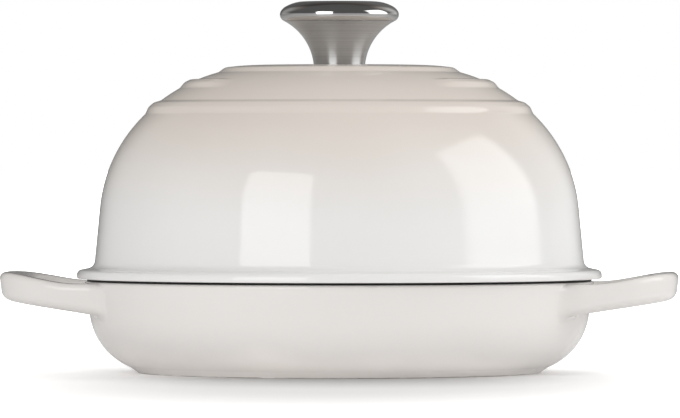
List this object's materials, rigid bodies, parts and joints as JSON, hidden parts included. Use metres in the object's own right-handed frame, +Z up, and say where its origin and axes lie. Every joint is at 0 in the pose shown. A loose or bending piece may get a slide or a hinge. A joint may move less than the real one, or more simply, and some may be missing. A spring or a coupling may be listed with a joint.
{
  "type": "bread cloche",
  "caption": "Shallow round enamelled base with loop handles and a tall stepped dome lid with a steel knob, for baking a round loaf under cover.",
  "frame": {"origin": "centre of the foot ring, on the plane that it stands on", "axes": "+Z up along the axis of the base, the lid and the knob; X through both handles; the plain front of the lid's stepped top faces -Y"},
  "size_m": [0.325, 0.2518, 0.1778],
  "materials": {
    "enamel": "glossy warm white enamel outside, matte black enamel inside and on the rim",
    "polished_steel": "mirror polished stainless steel",
    "satin_steel": "satin stainless steel, turned marks round the axis"
  },
  "bodies": {
    "base": {"base_pan": "enamel"},
    "lid": {"lid_dome": "enamel", "knob_cap": "polished_steel", "knob_body": "satin_steel", "knob_insert": "satin_steel", "knob_screw": "satin_steel", "flat_washer": "polished_steel", "lock_washer": "satin_steel"}
  },
  "joints": [
    {"name": "lid_lift", "type": "slide", "parent": "base", "child": "lid", "axis": [0, 0, 1], "range_m": [0, 0.2]}
  ]
}
